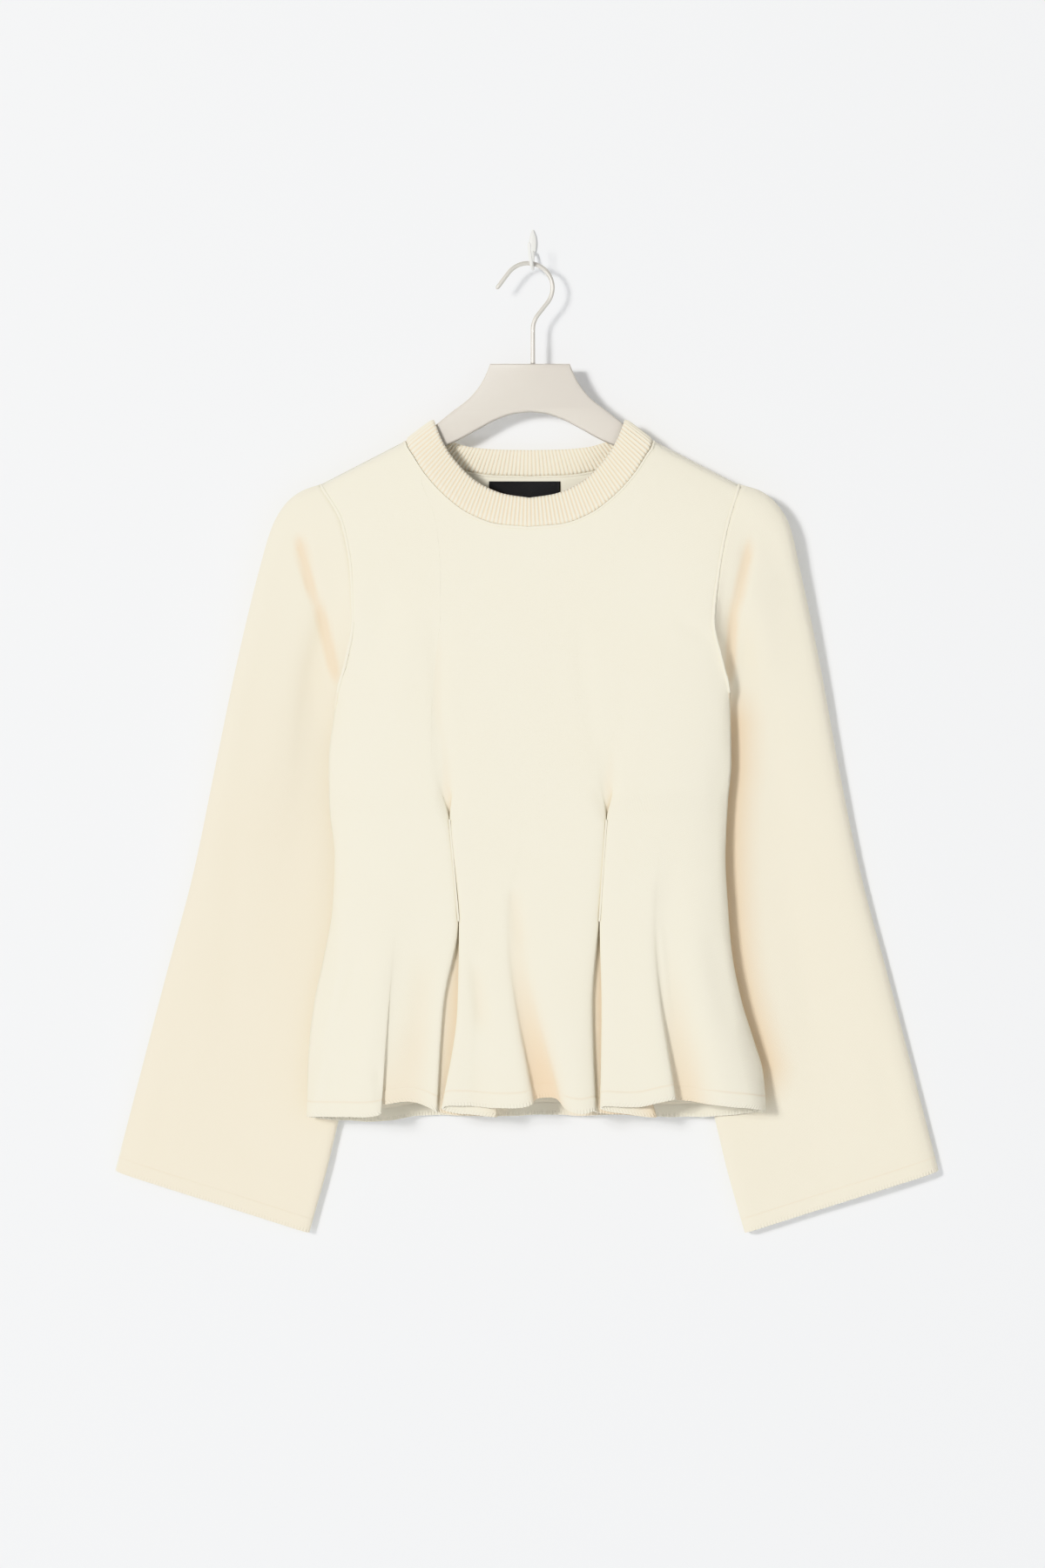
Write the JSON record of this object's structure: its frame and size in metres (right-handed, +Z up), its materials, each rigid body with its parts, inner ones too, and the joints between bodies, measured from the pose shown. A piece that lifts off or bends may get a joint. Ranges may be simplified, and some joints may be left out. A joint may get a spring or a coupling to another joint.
{
  "type": "peplum top on a hanger",
  "caption": "Cream knitted long-sleeved peplum top with ribbed crew neck and released front pleats, hanging on a flat hanger from a small wall hook.",
  "frame": {"origin": "middle of the wall hook's back face, on the wall", "axes": "+Z up, +X to the viewer's right, -Y out from the wall towards the viewer"},
  "size_m": [0.6958, 0.0673, 0.848],
  "materials": {
    "knit": "fine jersey knit",
    "rib": "ribbed knit",
    "label": "woven satin",
    "hanger": "satin",
    "wire": "satin",
    "wall_hook": "satin"
  },
  "bodies": {
    "root": {"front_panel": "knit", "back_panel": "knit", "sleeve_left": "knit", "sleeve_right": "knit", "neckband": "rib", "neck_label": "label", "hanger_body": "hanger", "hanger_hook": "wire", "wall_plate": "wall_hook", "wall_prong": "wall_hook"}
  },
  "joints": []
}
